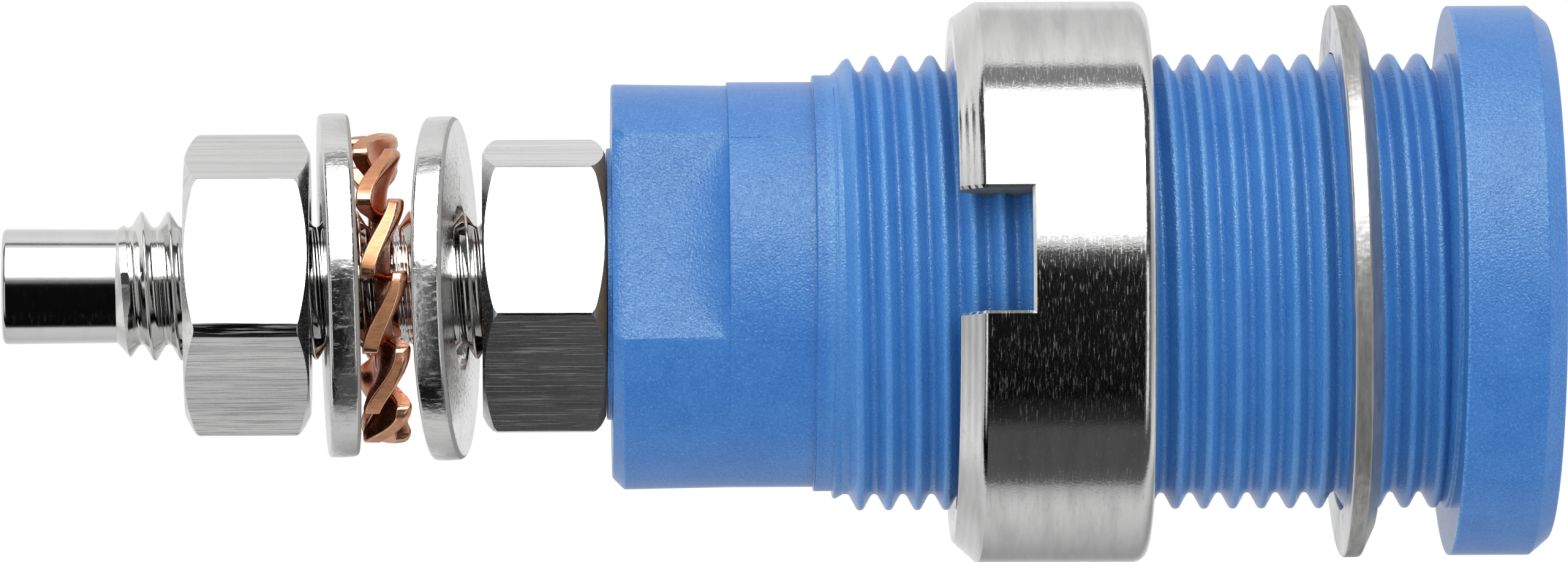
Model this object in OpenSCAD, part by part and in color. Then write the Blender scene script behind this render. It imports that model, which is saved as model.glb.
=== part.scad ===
// Panel socket for a shrouded 4 mm plug, with a threaded terminal stud, its nuts and its washers.
// The axis is X, the front is +X, and the origin is the middle of the head's back face.

/* [Head and barrel] */
// Diameter of the round head
head_diameter = 14.4; // [13:0.1:16]
// Length of the head along the axis
head_length = 2.6; // [2:0.1:4]
// Length of the bevel around the front of the head
head_bevel_length = 0.57; // [0.2:0.01:1]
// How much smaller the front of the bevel is, on the radius
head_bevel_drop = 0.49; // [0.2:0.01:1]
// Broken edge at the back of the head
head_edge = 0.1; // [0.05:0.05:0.3]
// Distance from the head to the rear end of the body
body_length = 21.85; // [18:0.05:30]
// Diameter over the crests of the barrel thread
barrel_crest_diameter = 11.92; // [11:0.02:12]
// Diameter at the roots of the barrel thread
barrel_root_diameter = 11.14; // [10:0.02:11.6]
// Pitch of the barrel thread
barrel_pitch = 0.75; // [0.5:0.25:1.5]
// Width of one thread crest
barrel_crest_width = 0.08; // [0.04:0.01:0.2]
// Width of one thread flank along the axis
barrel_flank_width = 0.27; // [0.1:0.01:0.4]
// Number of whole crests
barrel_crests = 20; // [5:1:28]
// Radius lost by the last crest, where the thread runs out
barrel_runout_drop = 0.18; // [0:0.02:0.4]
// Plain land between the head and the thread
head_land_length = 0.12; // [0.05:0.01:0.5]

/* [Rear end of the body] */
// Diameter of the low collar behind the thread
collar_diameter = 10.9; // [10:0.02:11.5]
// Distance from the head to the front of the collar
collar_front = 16.1; // [14:0.05:20]
// Distance from the head to the rear of the collar
collar_rear = 16.55; // [14:0.05:21]
// Diameter of the plain length behind the collar
waist_diameter = 10.64; // [10:0.02:11.5]
// Diameter of the rear end
rear_diameter = 10.54; // [10:0.02:11.5]
// Length of the rear end with the flats
flat_length = 3.02; // [2:0.02:5]
// Distance across the two flats
flat_width = 9; // [8:0.1:10]
// Turn of the flats above the front of the view
flat_turn = 17; // [0:1:90]
// Rounding where the flats meet the waist
flat_fillet = 0.6; // [0.1:0.05:0.7]
// Chamfer around the rear end
rear_chamfer = 0.28; // [0.1:0.02:0.8]
// Diameter of the raised seat on the rear face
seat_diameter = 7.1; // [6:0.1:8]
// Height of the raised seat
seat_height = 0.13; // [0.05:0.01:0.4]

/* [Hollow of the body] */
// Diameter of the hollow for the plug's shroud
hollow_diameter = 8.2; // [8:0.05:8.6]
// Depth of the hollow from the front
hollow_depth = 20; // [16:0.5:21]
// Lead-in chamfer at the mouth
mouth_chamfer = 0.3; // [0.1:0.05:0.6]
// Outer diameter of the post around the contact
post_diameter = 6.2; // [6:0.05:6.4]
// How far the post stops below the front
post_recess = 1; // [0.5:0.1:3]
// Thickness of the web that the contact is pulled against
web_thickness = 2.25; // [1.5:0.05:4]

/* [Contact and stud] */
// Diameter of the plug bore
plug_bore_diameter = 4; // [3.9:0.02:4.2]
// Depth of the plug bore
plug_bore_depth = 19; // [15:0.5:21]
// Lead-in chamfer of the plug bore
plug_bore_chamfer = 0.3; // [0.1:0.05:0.6]
// How far the contact stops below the front
contact_recess = 1.8; // [1:0.1:4]
// Outer diameter of the contact sleeve
sleeve_diameter = 5.2; // [4.8:0.05:5.6]
// Diameter over the crests of the stud thread
stud_crest_diameter = 3.9; // [3.8:0.01:4]
// Diameter at the roots of the stud thread
stud_root_diameter = 3.16; // [3:0.02:3.4]
// Pitch of the stud thread
stud_pitch = 0.7; // [0.5:0.1:1]
// Width of one stud thread crest
stud_crest_width = 0.09; // [0.04:0.01:0.2]
// Width of one stud thread flank along the axis
stud_flank_width = 0.24; // [0.1:0.01:0.35]
// Distance from the head to the crest nearest the stud's end
stud_last_crest = 34.14; // [30:0.02:40]
// Number of stud thread crests
stud_crests = 18; // [5:1:24]
// Distance from the head to the end of the stud thread
stud_thread_end = 34.7; // [30:0.05:40]
// Diameter of the plain pilot
pilot_diameter = 3.02; // [2.5:0.02:3.2]
// Distance from the head to the end of the pilot
pilot_end = 37.72; // [35:0.02:42]
// Chamfer at the end of the pilot
pilot_chamfer = 0.14; // [0.05:0.01:0.5]

/* [Hexagon nuts] */
// Width across the flats
nut_width = 7; // [6:0.1:8]
// Thickness of a nut
nut_thickness = 3.2; // [2.5:0.1:4]
// Diameter of the round face inside the chamfer
nut_face_diameter = 6.75; // [6:0.05:7]
// Slope of the corner chamfer
nut_chamfer_slope = 30; // [15:1:45]
// Countersink at each end of the bore
nut_countersink = 0.3; // [0.1:0.05:0.6]
// Distance from the head to the front of the inner nut
inner_nut_front = 22; // [21.9:0.01:26]
// Turn of the inner nut above the front of the view
inner_nut_turn = 19.6; // [0:0.1:60]
// Distance from the head to the front of the outer nut
outer_nut_front = 29.71; // [28:0.01:33]
// Turn of the outer nut above the front of the view
outer_nut_turn = 14.7; // [0:0.1:60]

/* [Flat washers] */
// Outer diameter
washer_diameter = 9; // [8:0.1:10]
// Inner diameter
washer_bore = 4.3; // [4.1:0.05:4.6]
// Thickness
washer_thickness = 0.8; // [0.5:0.05:1.2]
// Broken edge around the rim
washer_edge = 0.1; // [0.02:0.01:0.2]
// Distance from the head to the middle of the inner washer
inner_washer_place = 26.17; // [25:0.01:28]
// How far the inner washer hangs below the axis
inner_washer_drop = 0.09; // [0:0.01:0.15]
// Lean of the inner washer's top to the rear
inner_washer_lean = 1.1; // [0:0.1:5]
// Turn of the inner washer's near side to the rear
inner_washer_turn = 6.4; // [0:0.1:9]
// Distance from the head to the middle of the outer washer
outer_washer_place = 28.975; // [28:0.005:30]
// Lean of the outer washer's top to the rear
outer_washer_lean = 1.7; // [0:0.1:5]
// Turn of the outer washer's near side to the front
outer_washer_turn = 2.4; // [0:0.1:9]

/* [Toothed lock washer] */
// Diameter over the teeth
lock_diameter = 8.06; // [7:0.02:9]
// Diameter of the flat ring that carries the teeth
lock_ring_diameter = 5.7; // [5:0.1:6.5]
// Thickness of the sheet
lock_thickness = 0.45; // [0.3:0.01:0.6]
// Number of teeth
lock_teeth = 12; // [8:1:16]
// Twist of each tooth
lock_twist = 21; // [10:1:35]
// Width of a tooth at its tip
lock_tip_width = 2.25; // [1.5:0.05:2.6]
// Width of a tooth at its root
lock_root_width = 1.45; // [1:0.05:2]
// Turn of the tooth nearest the front of the view, below it
lock_turn = 9.5; // [0:0.5:30]
// Distance from the head to the middle of the lock washer
lock_place = 27.88; // [27:0.01:29]
// How far the lock washer hangs below the axis
lock_drop = 0.09; // [0:0.01:0.15]
// Lean of the lock washer's top to the rear
lock_lean = 2.2; // [0:0.1:5]
// Turn of the lock washer's near side to the front
lock_yaw = 2; // [0:0.1:5]

/* [Ring nut and ring washer] */
// Outer diameter of the ring nut
ring_nut_diameter = 14.68; // [13:0.02:16]
// Distance from the head to the front of the ring nut
ring_nut_front = 7.95; // [3:0.01:9]
// Length of the ring nut
ring_nut_length = 5.02; // [3:0.02:8]
// Chamfer around the rear of the ring nut
ring_nut_rear_chamfer = 0.6; // [0.2:0.05:1]
// Rounding around the front of the ring nut
ring_nut_front_round = 0.25; // [0.1:0.05:0.6]
// Countersink at each end of the ring nut's bore
ring_nut_countersink = 0.35; // [0.1:0.05:0.6]
// Width of the spanner slot
slot_width = 3.1; // [2:0.1:4]
// Depth of the spanner slot
slot_depth = 1.84; // [1:0.02:3]
// Turn of the spanner slot above the front of the view
slot_turn = 6.8; // [0:0.1:90]
// Outer diameter of the ring washer
ring_washer_diameter = 14.44; // [13:0.02:16]
// Inner diameter of the ring washer
ring_washer_bore = 12.4; // [12.2:0.05:13]
// Thickness of the ring washer
ring_washer_thickness = 0.8; // [0.4:0.05:1.2]
// Bevel on the ring washer's front edge
ring_washer_bevel = 0.3; // [0.1:0.05:0.6]
// Distance from the head to the middle of the ring washer
ring_washer_place = 2.6; // [2.5:0.01:5]
// Lean of the ring washer's top to the rear
ring_washer_lean = 1; // [0:0.1:3]

/* [Fits] */
// Radial clearance of a nut on its thread
thread_clearance = 0.04; // [0.02:0.01:0.1]
// Radial clearance of the contact sleeve in the post
sleeve_clearance = 0.03; // [0.02:0.01:0.1]
// Radial clearance of the stud in the web
stud_clearance = 0.1; // [0.05:0.01:0.3]
// Space between the contact's shoulder and the web
seat_gap = 0.02; // [0:0.01:0.05]

/* [Hidden] */
blue = [0.05, 0.24, 0.62];
nickel = [0.78, 0.77, 0.75];
copper = [0.72, 0.38, 0.22];
round_facets = 96;
round_steps = 6;
cut = 1;
quarter = 90;
hex_sides = 6;

head_radius = head_diameter / 2;
barrel_crest_radius = barrel_crest_diameter / 2;
barrel_root_radius = barrel_root_diameter / 2;
rear_radius = rear_diameter / 2;
waist_radius = waist_diameter / 2;
collar_radius = collar_diameter / 2;
land_radius = barrel_crest_radius + thread_clearance / 2;
flat_front = body_length - flat_length;
hollow_radius = hollow_diameter / 2;
hollow_floor = head_length - hollow_depth;
post_radius = post_diameter / 2;
post_front = head_length - post_recess;
web_front = web_thickness - body_length;
sleeve_radius = sleeve_diameter / 2;
sleeve_seat_radius = sleeve_radius + sleeve_clearance;
stud_crest_radius = stud_crest_diameter / 2;
stud_root_radius = stud_root_diameter / 2;
stud_hole_radius = stud_crest_radius + stud_clearance;
contact_front = head_length - contact_recess;
shoulder_place = web_front + seat_gap;
pilot_radius = pilot_diameter / 2;
plug_bore_radius = plug_bore_diameter / 2;
plug_bore_floor = contact_front - plug_bore_depth;
nut_bore_radius = stud_crest_radius + thread_clearance;
ring_nut_radius = ring_nut_diameter / 2;
ring_nut_rear = ring_nut_front + ring_nut_length;
ring_nut_bore_radius = barrel_crest_radius + thread_clearance;
lock_pitch_angle = 360 / lock_teeth;
lock_tip_radius = lock_diameter / 2;
lock_ring_radius = lock_ring_diameter / 2;
washer_bore_radius = washer_bore / 2;

// Outline points [radius, place] of thread crests, from the rear to the front
function crest_row(first, count, pitch, root, crest, crest_width, flank_width) =
    [for (i = [0 : count - 1])
        for (step = [[root, -crest_width / 2 - flank_width], [crest, -crest_width / 2],
                     [crest, crest_width / 2], [root, crest_width / 2 + flank_width]])
            [step[0], first + i * pitch + step[1]]];

// Points of a quarter round, from the end face to the rim
function round_corner(radius, place, size) =
    [for (i = [0 : round_steps])
        [radius - size + size * sin(quarter * i / round_steps),
         place - size + size * cos(quarter * i / round_steps)]];

// Solid of revolution about the X axis from outline points [radius, place]
module turned(outline) {
    rotate([0, 90, 0])
        rotate_extrude($fn = round_facets)
            polygon(outline);
}

// Plain round bar along the X axis
module bar(radius, rear, front) {
    translate([rear, 0, 0])
        rotate([0, 90, 0])
            cylinder(r = radius, h = front - rear, $fn = round_facets);
}

// Bore with a countersink at each end
module countersunk_bore(radius, rear, front, sink) {
    turned([[0, rear - cut], [radius + sink + cut, rear - cut], [radius, rear + sink],
            [radius, front - sink], [radius + sink + cut, front + cut], [0, front + cut]]);
}

// Head, thread, collar and rear end in one outline
module body_outside() {
    first = -barrel_pitch * barrel_crests;
    turned(concat(
        [[0, -body_length],
         [rear_radius - rear_chamfer, -body_length],
         [rear_radius, rear_chamfer - body_length],
         [rear_radius, -flat_front],
         [waist_radius, -flat_front],
         [waist_radius, -collar_rear],
         [collar_radius, -collar_rear],
         [collar_radius, -collar_front],
         [barrel_root_radius, -collar_front]],
        crest_row(first - barrel_pitch, 1, barrel_pitch, barrel_root_radius,
                  barrel_crest_radius - barrel_runout_drop, barrel_crest_width, barrel_flank_width / 2),
        crest_row(first, barrel_crests, barrel_pitch, barrel_root_radius,
                  barrel_crest_radius, barrel_crest_width, barrel_flank_width),
        [[barrel_root_radius, -head_land_length - barrel_flank_width],
         [land_radius, -head_land_length],
         [land_radius, 0],
         [head_radius - head_edge, 0],
         [head_radius, head_edge],
         [head_radius, head_length - head_bevel_length],
         [head_radius - head_bevel_drop, head_length],
         [0, head_length]]));
    bar(seat_diameter / 2, -body_length - seat_height, cut - body_length);
}

// Hollow around the post, seat of the contact sleeve and hole for the stud
module body_inside() {
    turned([[post_radius, hollow_floor],
            [hollow_radius, hollow_floor],
            [hollow_radius, head_length - mouth_chamfer],
            [hollow_radius + mouth_chamfer, head_length],
            [hollow_radius + mouth_chamfer, head_length + cut],
            [0, head_length + cut],
            [0, post_front],
            [post_radius, post_front]]);
    bar(sleeve_seat_radius, web_front, post_front + cut);
    bar(stud_hole_radius, -body_length - cut, web_front + cut);
}

// Two flats for a spanner at the rear end, rounded where they meet the waist
module body_flats() {
    for (side = [0, 180])
        rotate([side - flat_turn, 0, 0])
            translate([-flat_front, -flat_width / 2, -head_radius])
                linear_extrude(height = head_diameter)
                    polygon(concat(
                        [[-flat_length - cut, -head_diameter], [-flat_length - cut, 0]],
                        round_corner(0, 0, flat_fillet),
                        [[0, -head_diameter]]));
}

module insulating_body() {
    color(blue)
        difference() {
            body_outside();
            body_inside();
            body_flats();
        }
}

// Plug sleeve, threaded stud and pilot, turned from one bar
module socket_contact() {
    color(nickel)
        difference() {
            turned(concat(
                [[0, -pilot_end],
                 [pilot_radius - pilot_chamfer, -pilot_end],
                 [pilot_radius, pilot_chamfer - pilot_end],
                 [pilot_radius, -stud_thread_end]],
                crest_row(-stud_last_crest, stud_crests, stud_pitch, stud_root_radius,
                          stud_crest_radius, stud_crest_width, stud_flank_width),
                [[stud_root_radius, shoulder_place],
                 [sleeve_radius, shoulder_place],
                 [sleeve_radius, contact_front],
                 [0, contact_front]]));
            turned([[0, plug_bore_floor],
                    [plug_bore_radius, plug_bore_floor],
                    [plug_bore_radius, contact_front - plug_bore_chamfer],
                    [plug_bore_radius + plug_bore_chamfer + cut, contact_front + cut],
                    [0, contact_front + cut]]);
        }
}

// Hexagon nut with both ends chamfered, its front face at the given place
module hex_nut(front, turn) {
    corner = nut_width / cos(180 / hex_sides) / 2;
    face = nut_face_diameter / 2;
    reach = corner + cut;
    fall = (reach - face) * tan(nut_chamfer_slope);
    rear = -front - nut_thickness;
    color(nickel)
        difference() {
            intersection() {
                translate([rear, 0, 0])
                    rotate([-turn, 0, 0])
                        rotate([0, 90, 0])
                            cylinder(r = corner, h = nut_thickness, $fn = hex_sides);
                turned([[0, rear], [face, rear], [reach, rear + fall],
                        [reach, -front - fall], [face, -front], [0, -front]]);
            }
            countersunk_bore(nut_bore_radius, rear, -front, nut_countersink);
        }
}

module inner_nut() {
    hex_nut(inner_nut_front, inner_nut_turn);
}

module outer_nut() {
    hex_nut(outer_nut_front, outer_nut_turn);
}

// Flat washer about the origin
module flat_washer() {
    half = washer_thickness / 2;
    rim = washer_diameter / 2;
    color(nickel)
        turned([[washer_bore_radius, -half], [rim - washer_edge, -half], [rim, washer_edge - half],
                [rim, half - washer_edge], [rim - washer_edge, half], [washer_bore_radius, half]]);
}

module inner_washer() {
    translate([-inner_washer_place, 0, -inner_washer_drop])
        rotate([0, -inner_washer_lean, -inner_washer_turn])
            flat_washer();
}

module outer_washer() {
    translate([-outer_washer_place, 0, 0])
        rotate([0, -outer_washer_lean, outer_washer_turn])
            flat_washer();
}

// One twisted tooth that widens to its tip, along the local X axis
module lock_tooth() {
    rotate([-lock_twist, 0, 0])
        linear_extrude(height = lock_thickness, center = true)
            polygon([[washer_bore_radius + lock_thickness, -lock_root_width / 2],
                     [lock_tip_radius + cut, -lock_tip_width / 2],
                     [lock_tip_radius + cut, lock_tip_width / 2],
                     [washer_bore_radius + lock_thickness, lock_root_width / 2]]);
}

// Flat ring with a fan of twisted teeth, each passing over the next
module lock_washer() {
    color(copper)
        translate([-lock_place, 0, -lock_drop])
            rotate([0, -lock_lean, lock_yaw])
                rotate([lock_turn, 0, 0])
                    difference() {
                        union() {
                            bar(lock_ring_radius, -lock_thickness / 2, lock_thickness / 2);
                            intersection() {
                                rotate([0, 90, 0])
                                    for (i = [0 : lock_teeth - 1])
                                        rotate([0, 0, i * lock_pitch_angle])
                                            lock_tooth();
                                bar(lock_tip_radius, -cut, cut);
                            }
                        }
                        bar(washer_bore_radius, -cut, cut);
                    }
}

module ring_nut() {
    color(nickel)
        difference() {
            turned(concat(
                [[0, -ring_nut_rear],
                 [ring_nut_radius - ring_nut_rear_chamfer, -ring_nut_rear],
                 [ring_nut_radius, ring_nut_rear_chamfer - ring_nut_rear],
                 [ring_nut_radius, -ring_nut_front - ring_nut_front_round]],
                [for (i = [round_steps : -1 : 0])
                    round_corner(ring_nut_radius, -ring_nut_front, ring_nut_front_round)[i]],
                [[0, -ring_nut_front]]));
            countersunk_bore(ring_nut_bore_radius, -ring_nut_rear, -ring_nut_front, ring_nut_countersink);
            rotate([-slot_turn, 0, 0])
                translate([-ring_nut_rear - cut, -ring_nut_diameter, -slot_width / 2])
                    cube([slot_depth + cut, ring_nut_diameter * 2, slot_width]);
        }
}

module ring_washer() {
    half = ring_washer_thickness / 2;
    rim = ring_washer_diameter / 2;
    bore = ring_washer_bore / 2;
    color(nickel)
        translate([-ring_washer_place, 0, 0])
            rotate([0, -ring_washer_lean, 0])
                turned([[bore, -half], [rim - washer_edge, -half], [rim, washer_edge - half],
                        [rim, half - ring_washer_bevel], [rim - ring_washer_bevel, half], [bore, half]]);
}

insulating_body();
socket_contact();
inner_nut();
inner_washer();
lock_washer();
outer_washer();
outer_nut();
ring_nut();
ring_washer();
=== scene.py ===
"""Looks of a panel safety socket with its nuts and washers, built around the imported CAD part.

Lengths are in millimetres in the classes and become metres where a mesh is made. The axis is X,
the front is +X, and the photograph looks along +Y.
"""

import logging
import math
from dataclasses import dataclass, field
from enum import Enum
from functools import cache
from typing import Callable, Sequence

import bpy
from bpy.types import (
    Material, MeshPolygon, MeshVertex, Modifier, Node, NodeSocket, NodeTree, Object,
)
from mathutils import Matrix, Vector


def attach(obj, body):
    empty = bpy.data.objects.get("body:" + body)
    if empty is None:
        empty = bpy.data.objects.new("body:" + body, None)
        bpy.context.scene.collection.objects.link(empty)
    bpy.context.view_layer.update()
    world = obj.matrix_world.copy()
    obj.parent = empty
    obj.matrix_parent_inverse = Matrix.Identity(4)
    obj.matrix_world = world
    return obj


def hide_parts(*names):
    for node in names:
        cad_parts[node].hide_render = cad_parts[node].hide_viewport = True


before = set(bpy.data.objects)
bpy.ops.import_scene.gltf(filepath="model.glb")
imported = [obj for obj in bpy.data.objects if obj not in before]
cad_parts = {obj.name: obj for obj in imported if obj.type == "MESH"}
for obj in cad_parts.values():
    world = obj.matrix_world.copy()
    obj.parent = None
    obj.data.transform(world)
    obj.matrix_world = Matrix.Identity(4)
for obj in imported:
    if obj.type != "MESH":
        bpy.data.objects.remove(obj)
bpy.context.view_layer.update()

MM = 0.001
PHOTO_WIDTH = 2560
MERGE = 1e-6  # metres within which points become one
NEAR = 0.01  # how close a point lies to a place it is tested for
CUT_TRIES = 12
CUT_SLACK = 0.002  # by which the volume left by a sound cut may differ
HAIR = 0.001  # move of a tool before its cut is made again
FACE_WEIGHT = 70  # share of a face's size in the normals of its corners
FACING = 0.97  # part of the normal along the axis from which a face counts as facing the front
LOG = logging.getLogger("safety_socket")

Point = tuple[float, float]
Triple = tuple[float, float, float]
Colour = tuple[float, float, float]
Span = tuple[float, float, float, float]


class Cut(Enum):
    """Ways to combine a piece with a shaping tool."""

    REMOVE = "DIFFERENCE"
    KEEP_INSIDE = "INTERSECT"


class Slot(Enum):
    """Material slots of the part's record."""

    BLUE_PLASTIC = "blue_plastic"
    NICKEL = "nickel"
    NICKEL_CONTACT = "nickel_contact"
    COPPER = "copper"


class Bench:
    """Modelling steps, each of which acts on one mesh object."""

    @staticmethod
    def clear() -> None:
        """Leave edit mode and deselect every object."""
        if bpy.context.object is not None and bpy.context.object.mode != "OBJECT":
            bpy.ops.object.mode_set(mode="OBJECT")
        bpy.ops.object.select_all(action="DESELECT")

    @staticmethod
    def pick(obj: Object, *others: Object) -> None:
        """Select the objects and make the first one active.

        Args:
            obj: The object that becomes active.
            others: Further objects to select.
        """
        Bench.clear()
        for one in (obj, *others):
            one.select_set(True)
        bpy.context.view_layer.objects.active = obj

    @staticmethod
    def edit(obj: Object) -> None:
        """Open the object in edit mode with all of it selected.

        Args:
            obj: The object to open.
        """
        Bench.pick(obj)
        bpy.ops.object.mode_set(mode="EDIT")
        bpy.ops.mesh.select_mode(type="VERT")
        bpy.ops.mesh.select_all(action="SELECT")

    @staticmethod
    def leave() -> None:
        """Go back to object mode."""
        bpy.ops.object.mode_set(mode="OBJECT")

    @staticmethod
    def unselect(obj: Object) -> None:
        """Deselect all of the object's mesh, and stay in object mode.

        Args:
            obj: The object with the mesh.
        """
        Bench.edit(obj)
        bpy.ops.mesh.select_all(action="DESELECT")
        Bench.leave()

    @staticmethod
    def new_object(name: str) -> Object:
        """Name the primitive that was just added and apply its place.

        Args:
            name: Name for the object and its mesh.

        Returns:
            The object, at the origin, with its place in its mesh.
        """
        obj = bpy.context.object
        obj.name = obj.data.name = name
        bpy.ops.object.transform_apply(location=True, rotation=True, scale=True)
        return obj

    @staticmethod
    def block(name: str, size: Triple) -> Object:
        """Add a block about the origin.

        Args:
            name: Name for the new object.
            size: Lengths along X, Y and Z.

        Returns:
            The block.
        """
        Bench.clear()
        bpy.ops.mesh.primitive_cube_add(size=1, scale=[length * MM for length in size])
        return Bench.new_object(name)

    @staticmethod
    def profile(name: str, points: Sequence[Point]) -> Object:
        """Draw a closed half section above the X axis as a chain of edges.

        Args:
            name: Name for the new object.
            points: Places along the axis and radii, in order.

        Returns:
            The object that holds the chain.
        """
        Bench.clear()
        first = points[0]
        bpy.ops.mesh.primitive_plane_add(size=MM, location=(first[0] * MM, 0, first[1] * MM))
        obj = Bench.new_object(name)
        Bench.edit(obj)
        bpy.ops.mesh.merge(type="CENTER")
        for (x0, r0), (x1, r1) in zip(points, [*points[1:], first]):
            step = ((x1 - x0) * MM, 0, (r1 - r0) * MM)
            bpy.ops.mesh.extrude_region_move(TRANSFORM_OT_translate={"value": step})
        bpy.ops.mesh.select_all(action="SELECT")
        bpy.ops.mesh.remove_doubles(threshold=MERGE)
        Bench.leave()
        return obj

    @staticmethod
    def clean(obj: Object) -> None:
        """Merge doubles and turn all faces outwards.

        Args:
            obj: The object to clean.
        """
        Bench.edit(obj)
        bpy.ops.mesh.remove_doubles(threshold=MERGE)
        bpy.ops.mesh.normals_make_consistent(inside=False)
        Bench.leave()

    @staticmethod
    def turned(name: str, points: Sequence[Point], steps: int) -> Object:
        """Turn a closed half section around the X axis.

        Args:
            name: Name for the new object.
            points: Places along the axis and radii, in order.
            steps: Faces around the axis.

        Returns:
            The closed solid of revolution.
        """
        obj = Bench.profile(name, points)
        Bench.edit(obj)
        bpy.ops.mesh.spin(steps=steps, angle=math.tau, center=(0, 0, 0), axis=(1, 0, 0))
        Bench.clean(obj)
        return obj

    @staticmethod
    def apply(obj: Object, modifier: Modifier) -> None:
        """Apply one modifier to the object's mesh."""
        Bench.pick(obj)
        bpy.ops.object.modifier_apply(modifier=modifier.name)

    @staticmethod
    def combine(obj: Object, tool: Object, cut: Cut, left: float) -> None:
        """Cut the object with a tool, then remove the tool.

        Points that all but coincide can make a cut come out wrong, with faces missing. It is then
        made again from the uncut mesh, with such points merged and the tool moved by a hair.

        Args:
            obj: The object to shape.
            tool: The closed mesh to shape it with.
            cut: What the tool does.
            left: Share of the volume that a sound cut leaves.

        Raises:
            RuntimeError: If no try gives a sound cut.
        """
        uncut, whole = obj.data.copy(), Bench.volume(obj)
        for _ in range(CUT_TRIES):
            modifier = obj.modifiers.new("shape", "BOOLEAN")
            modifier.object = tool
            modifier.operation = cut.value
            modifier.solver = "EXACT"
            Bench.apply(obj, modifier)
            if abs(Bench.volume(obj) / whole - left) < CUT_SLACK:
                break
            LOG.warning("%s: cut made again", obj.name)
            obj.data = uncut.copy()
            Bench.clean(obj)
            tool.data.transform(Matrix.Translation([HAIR * MM] * 3))
        else:
            raise RuntimeError(f"{obj.name} could not be cut")
        bpy.data.objects.remove(tool)
        bpy.data.meshes.remove(uncut)

    @staticmethod
    def volume(obj: Object) -> float:
        """Give the volume that the object's faces enclose."""
        return sum(face.center.dot(face.normal) * face.area for face in obj.data.polygons) / 3

    @staticmethod
    def break_edges(obj: Object, width: float, angle: float, segments: int) -> None:
        """Round the sharp edges of the object.

        Args:
            obj: The object to shape.
            width: Width of the rounding.
            angle: Smallest angle between faces, in degrees, that counts as an edge.
            segments: Faces across the rounding.
        """
        modifier = obj.modifiers.new("edges", "BEVEL")
        modifier.width = width * MM
        modifier.segments = segments
        modifier.limit_method = "ANGLE"
        modifier.angle_limit = math.radians(angle)
        Bench.apply(obj, modifier)

    @staticmethod
    def rub(
        obj: Object, width: float, segments: int, weigh: Callable[[Vector, Vector], float]
    ) -> None:
        """Round the edges of the object, each by its own weight.

        Args:
            obj: The object to shape.
            width: Width of the rounding at full weight.
            segments: Faces across the rounding.
            weigh: Gives an edge's weight from its two ends, in millimetres.
        """
        mesh = obj.data
        marks = mesh.attributes.new("bevel_weight_edge", "FLOAT", "EDGE")
        for edge in mesh.edges:
            first, last = (mesh.vertices[i].co / MM for i in edge.vertices)
            marks.data[edge.index].value = weigh(first, last)
        modifier = obj.modifiers.new("rub", "BEVEL")
        modifier.limit_method, modifier.width, modifier.segments = "WEIGHT", width * MM, segments
        modifier.use_clamp_overlap = False
        Bench.apply(obj, modifier)

    @staticmethod
    def place(obj: Object, move: Triple = (0, 0, 0), turn: Triple = (0, 0, 0)) -> None:
        """Turn and move the object, and apply both to its mesh.

        Args:
            obj: The object to place.
            move: Distances along X, Y and Z.
            turn: Angles about X, Y and Z in degrees, taken in that order.
        """
        Bench.pick(obj)
        obj.rotation_euler = [math.radians(angle) for angle in turn]
        obj.location = [distance * MM for distance in move]
        bpy.ops.object.transform_apply(location=True, rotation=True, scale=True)

    @staticmethod
    def join(obj: Object, others: Sequence[Object]) -> None:
        """Join further meshes into the object."""
        Bench.pick(obj, *others)
        bpy.ops.object.join()

    @staticmethod
    def smooth(obj: Object, angle: float) -> None:
        """Shade the object smooth, with sharp edges kept and large faces left even.

        The modifier takes very small faces for equal ones, so the mesh is enlarged while it acts.

        Args:
            obj: The object to shade.
            angle: Smallest angle between faces, in degrees, that stays a sharp edge.
        """
        Bench.pick(obj)
        bpy.ops.object.shade_smooth_by_angle(angle=math.radians(angle))
        Bench.enlarge(obj, 1 / MM)
        even = obj.modifiers.new("even", "WEIGHTED_NORMAL")
        even.keep_sharp, even.weight = True, FACE_WEIGHT
        Bench.apply(obj, even)
        Bench.enlarge(obj, MM)

    @staticmethod
    def enlarge(obj: Object, factor: float) -> None:
        """Enlarge the mesh about the origin.

        Args:
            obj: The object to enlarge.
            factor: How many times larger it becomes.
        """
        Bench.pick(obj)
        obj.scale = (factor, factor, factor)
        bpy.ops.object.transform_apply(location=False, rotation=False, scale=True)

    @staticmethod
    def lower(obj: Object, test: Callable[[Vector], bool], drop: float) -> None:
        """Move the points of the mesh that pass a test downwards.

        Args:
            obj: The object to shape.
            test: Tells from a point, in metres, whether it moves.
            drop: How far it moves.
        """
        Bench.unselect(obj)
        for vertex in obj.data.vertices:
            vertex.select = test(vertex.co)
        bpy.ops.object.mode_set(mode="EDIT")
        bpy.ops.transform.translate(value=(0, 0, -drop * MM))
        Bench.leave()

    @staticmethod
    def mark(obj: Object, test: Callable[[MeshPolygon], bool], share: float = 1.0) -> None:
        """Mark the cut faces of the mesh for its finish.

        Args:
            obj: The object to mark.
            test: Tells whether a face is a cut one.
            share: How much of the cut's own look shows.
        """
        marks = obj.data.attributes.new("cut", "FLOAT", "FACE")
        for face in obj.data.polygons:
            marks.data[face.index].value = share if test(face) else 0.0


def corner(
    centre: Point, radius: float, start: float, end: float, steps: int = 4
) -> list[Point]:
    """Points of a rounded corner in a half section.

    Args:
        centre: Middle of the rounding, as place and radius.
        radius: Size of the rounding.
        start: First angle in degrees, from the axis direction towards larger radius.
        end: Last angle in degrees.
        steps: Number of edges in the rounding.

    Returns:
        The points in order.
    """
    angles = [math.radians(start + (end - start) * i / steps) for i in range(steps + 1)]
    return [(centre[0] + radius * math.cos(a), centre[1] + radius * math.sin(a)) for a in angles]


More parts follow.
